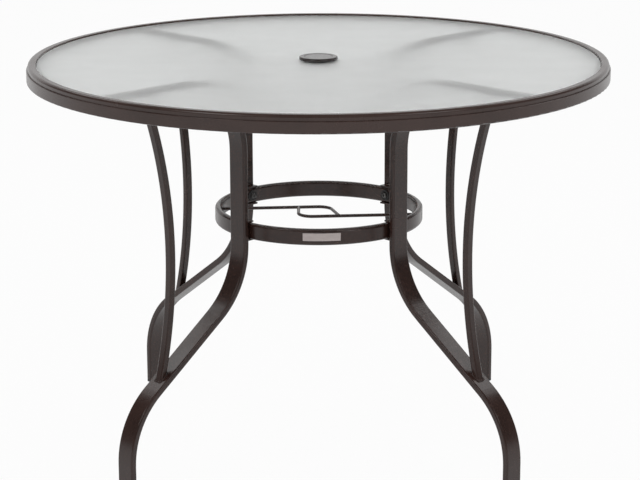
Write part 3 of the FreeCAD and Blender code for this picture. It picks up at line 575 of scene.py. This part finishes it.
def thread(angle, radius, height):
    """A round-topped groove that climbs one pitch each turn, faded out at both ends of the sleeve."""
    outside = (radius > SLEEVE_RADIUS - WALL_REACH) & (radius < SLEEVE_RADIUS + WALL_REACH)
    groove = 0.5 - 0.5 * np.cos(2 * np.pi * height / THREAD_PITCH - angle)
    below_top = np.clip((THREAD_TOP - height) / THREAD_FADE, 0, 1)
    above_end = np.clip((height - SLEEVE_BOTTOM - THREAD_GAP) / THREAD_FADE, 0, 1)
    fade = below_top * above_end
    return THREAD_DEPTH * groove ** THREAD_FULLNESS * fade * outside


plastic = moulded_plastic()
sleeve = rounded_profile([
    (BORE_RADIUS, SLEEVE_BOTTOM, EDGE_ROUND),
    (SLEEVE_RADIUS, SLEEVE_BOTTOM, EDGE_ROUND),
    (SLEEVE_RADIUS, GLASS_TOP, 0.0),
    (FLANGE_RADIUS, GLASS_TOP, 0.0),
    (FLANGE_RADIUS, FLANGE_TOP, FLANGE_ROUND),
    (RECESS_RADIUS, FLANGE_TOP, EDGE_ROUND),
    (RECESS_RADIUS, RECESS_FLOOR, 0.0),
    (BORE_RADIUS, RECESS_FLOOR, 0.0),
], SLEEVE_STEP)
ring = turned_piece(
    "threaded_umbrella_ring", sleeve, SLEEVE_ANGLES, thread, "tabletop", plastic)
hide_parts("umbrella_ring")

COLLAR_LOW, COLLAR_HIGH = [corner.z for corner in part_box("umbrella_ring_collar")]
COLLAR_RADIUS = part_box("umbrella_ring_collar")[1].x
COLLAR_BORE = 0.0287
COLLAR_STEP = 0.0005
COLLAR_ANGLES = 384
COLLAR_BORE_LOW_ROUND = 0.0005
COLLAR_BORE_HIGH_ROUND = 0.0003
COLLAR_LOW_ROUND = 0.0015
COLLAR_HIGH_ROUND = 0.001
FINGER_RIBS = 24
RIB_DEPTH = 0.0011
RIB_FADE = 0.001
RIB_SHARPNESS = 3


def ribs(angle, radius, height):
    """Round grooves between the finger ribs, full at the rim of the collar and gone at half its width."""
    outwards = np.clip((radius - COLLAR_BORE) / (COLLAR_RADIUS - COLLAR_BORE) * 2 - 1, 0, 1)
    below = np.clip((COLLAR_HIGH - RIB_FADE - height) / RIB_FADE, 0, 1)
    return RIB_DEPTH * np.abs(np.cos(FINGER_RIBS * angle / 2)) ** RIB_SHARPNESS * outwards * below


nut = rounded_profile([
    (COLLAR_BORE, COLLAR_LOW, COLLAR_BORE_LOW_ROUND),
    (COLLAR_RADIUS, COLLAR_LOW, COLLAR_LOW_ROUND),
    (COLLAR_RADIUS, COLLAR_HIGH, COLLAR_HIGH_ROUND),
    (COLLAR_BORE, COLLAR_HIGH, COLLAR_BORE_HIGH_ROUND),
], COLLAR_STEP)
collar = turned_piece("ribbed_collar", nut, COLLAR_ANGLES, ribs, "tabletop", plastic)
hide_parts("umbrella_ring_collar")
dress(plastic, "umbrella_ring_cap")


# Label plate: a strip of pale satin foil, left blank, with a gummed back. It is stuck on the front of the
# middle ring.
FOIL_LINE = 0.0008
# how fast the pattern changes along the strip, as a share of how fast it does across it
FOIL_STRETCH = 0.04
FOIL_ROUGHNESS = (0.34, 0.46)
FOIL_IOR = 1.5


def blank_foil():
    """Pale satin foil, brushed along the strip, with faint lines of 0.8 mm."""
    material, tree, shader = new_material("blank_satin_foil")
    place = add(tree, "ShaderNodeTexCoord").outputs["Object"]
    stretch = {"Vector": place, "Scale": (FOIL_STRETCH, FOIL_STRETCH, 1.0)}
    flat = add(tree, "ShaderNodeMapping", (), stretch).outputs["Vector"]
    lines = noise(tree, flat, FOIL_LINE, 2.0)
    colour = blend(tree, between(tree, lines, 0.0, 1.0), linear("#BDB3B0"), linear("#B1A6A4"))
    tree.links.new(colour, shader.inputs["Base Color"])
    tree.links.new(between(tree, lines, *FOIL_ROUGHNESS), shader.inputs["Roughness"])
    shader.inputs["IOR"].default_value = FOIL_IOR
    return material


dress(blank_foil(), "label_plate")


# Backdrop: a plain white paper sweep, flat under the table and rolled up behind it. To the camera, and in
# gloss and glass, it is close to white; it still takes the table's shadow.
SWEEP_HALF = 16.0
SWEEP_BEND = 3.0
SWEEP_BACK = 15.0
SWEEP_TOP = 9.0
SWEEP_STEPS = 24
SWEEP_GLOW = 0.95


def seen(tree, kinds):
    """1 for rays of these kinds, and 0 for the rest."""
    path = add(tree, "ShaderNodeLightPath")
    found = path.outputs[kinds[0]]
    for kind in kinds[1:]:
        either = add(tree, "ShaderNodeMath", {"operation": "MAXIMUM"})
        tree.links.new(found, either.inputs[0])
        tree.links.new(path.outputs[kind], either.inputs[1])
        found = either.outputs[0]
    return found


paper = bpy.data.materials.new("white_paper_sweep")
paper.use_nodes = True
tree = paper.node_tree
tree.nodes.clear()
matt = add(tree, "ShaderNodeBsdfDiffuse", (), {"Color": linear("#C4C4C4")})
glow = add(tree, "ShaderNodeEmission", (), {"Color": linear("#FFFFFF"), "Strength": 1.0})
share = add(tree, "ShaderNodeMath", {"operation": "MULTIPLY"})
tree.links.new(seen(tree, ("Is Camera Ray", "Is Glossy Ray", "Is Transmission Ray")), share.inputs[0])
share.inputs[1].default_value = SWEEP_GLOW
mix = add(tree, "ShaderNodeMixShader", (), {"Fac": share.outputs[0]})
tree.links.new(matt.outputs[0], mix.inputs[1])
tree.links.new(glow.outputs[0], mix.inputs[2])
add(tree, "ShaderNodeOutputMaterial", (), {"Surface": mix.outputs[0]})
roll = np.linspace(0, np.pi / 2, SWEEP_STEPS)
back = np.concatenate([[-SWEEP_HALF], SWEEP_BACK - SWEEP_BEND + SWEEP_BEND * np.sin(roll), [SWEEP_BACK]])
rise = np.concatenate([[0], SWEEP_BEND * (1 - np.cos(roll)), [SWEEP_TOP]])
spots = np.stack([np.stack([np.full(len(back), side * SWEEP_HALF), back, rise], 1) for side in (-1, 1)], 1)
faces = [(2 * step, 2 * step + 1, 2 * step + 3, 2 * step + 2) for step in range(len(back) - 1)]
sweep_mesh = bpy.data.meshes.new("paper_sweep")
sweep_mesh.from_pydata(spots.reshape(-1, 3).tolist(), [], faces)
sweep_mesh.polygons.foreach_set("use_smooth", np.ones(len(faces), bool))
sweep_mesh.materials.append(paper)
sweep = bpy.data.objects.new("paper_sweep", sweep_mesh)
bpy.context.scene.collection.objects.link(sweep)


# Light: a white room that shows only dimly in gloss, two large soft boxes high in front, the left one
# stronger, and two weaker ones behind that draw a sheen along the slopes of the legs.
ROOM_LIGHT = 0.8
ROOM_IN_GLOSS = 0.12
world = bpy.data.worlds.new("studio_room")
bpy.context.scene.world = world
world.use_nodes = True
tree = world.node_tree
tree.nodes.clear()
lit = add(tree, "ShaderNodeBackground", (), {"Color": linear("#FFFFFF"), "Strength": ROOM_LIGHT})
dim = add(tree, "ShaderNodeBackground", (), {"Color": linear("#FFFFFF"), "Strength": ROOM_IN_GLOSS})
shown = add(tree, "ShaderNodeBackground", (), {"Color": linear("#FFFFFF"), "Strength": 1.0})
gloss = add(tree, "ShaderNodeMixShader", (), {"Fac": seen(tree, ("Is Glossy Ray",))})
tree.links.new(lit.outputs[0], gloss.inputs[1])
tree.links.new(dim.outputs[0], gloss.inputs[2])
mix = add(tree, "ShaderNodeMixShader", (), {"Fac": seen(tree, ("Is Camera Ray", "Is Transmission Ray"))})
tree.links.new(gloss.outputs[0], mix.inputs[1])
tree.links.new(shown.outputs[0], mix.inputs[2])
add(tree, "ShaderNodeOutputWorld", (), {"Surface": mix.outputs[0]})


def soft_box(name, place, size, power):
    """A square lamp turned to the middle of the table, its size in metres and its power in watts."""
    lamp = bpy.data.lights.new(name, "AREA")
    lamp.shape = "SQUARE"
    lamp.size = size
    lamp.energy = power
    holder = bpy.data.objects.new(name, lamp)
    bpy.context.scene.collection.objects.link(holder)
    middle = (cad_low + cad_high) / 2
    holder.location = place
    holder.rotation_mode = "QUATERNION"
    holder.rotation_quaternion = (middle - holder.location).to_track_quat("-Z", "Y")


soft_box("key_soft_box", (-2.3, -2.6, 2.8), 1.3, 26.0)
soft_box("fill_soft_box", (2.3, -2.5, 2.4), 1.3, 18.0)
soft_box("left_back_soft_box", (-2.2, 1.5, 3.0), 1.4, 15.0)
soft_box("right_back_soft_box", (2.2, 1.5, 3.0), 1.4, 15.0)


# Camera: at eye height, 1.43 m, and almost 4 m in front, with a long lens that looks down by 15 degrees
# and leans a little to one side.
CAMERA_PLACE = (0.0, -3.942, 1.431)
SENSOR_WIDTH = 36.0
LENS = 122.06
LOOK_DOWN = math.radians(14.81)
TURN_RIGHT = 0.00051
ROLL = math.radians(0.15)
camera = bpy.data.objects.new("camera", bpy.data.cameras.new("camera"))
camera.data.sensor_width = SENSOR_WIDTH
camera.data.lens = LENS
camera.location = CAMERA_PLACE
aim = Matrix.Rotation(-TURN_RIGHT, 3, "Z") @ Matrix.Rotation(math.pi / 2 - LOOK_DOWN, 3, "X")
camera.rotation_euler = (aim @ Matrix.Rotation(-ROLL, 3, "Z")).to_euler()
bpy.context.scene.collection.objects.link(camera)
bpy.context.scene.camera = camera
bpy.context.scene.view_settings.view_transform = "Standard"
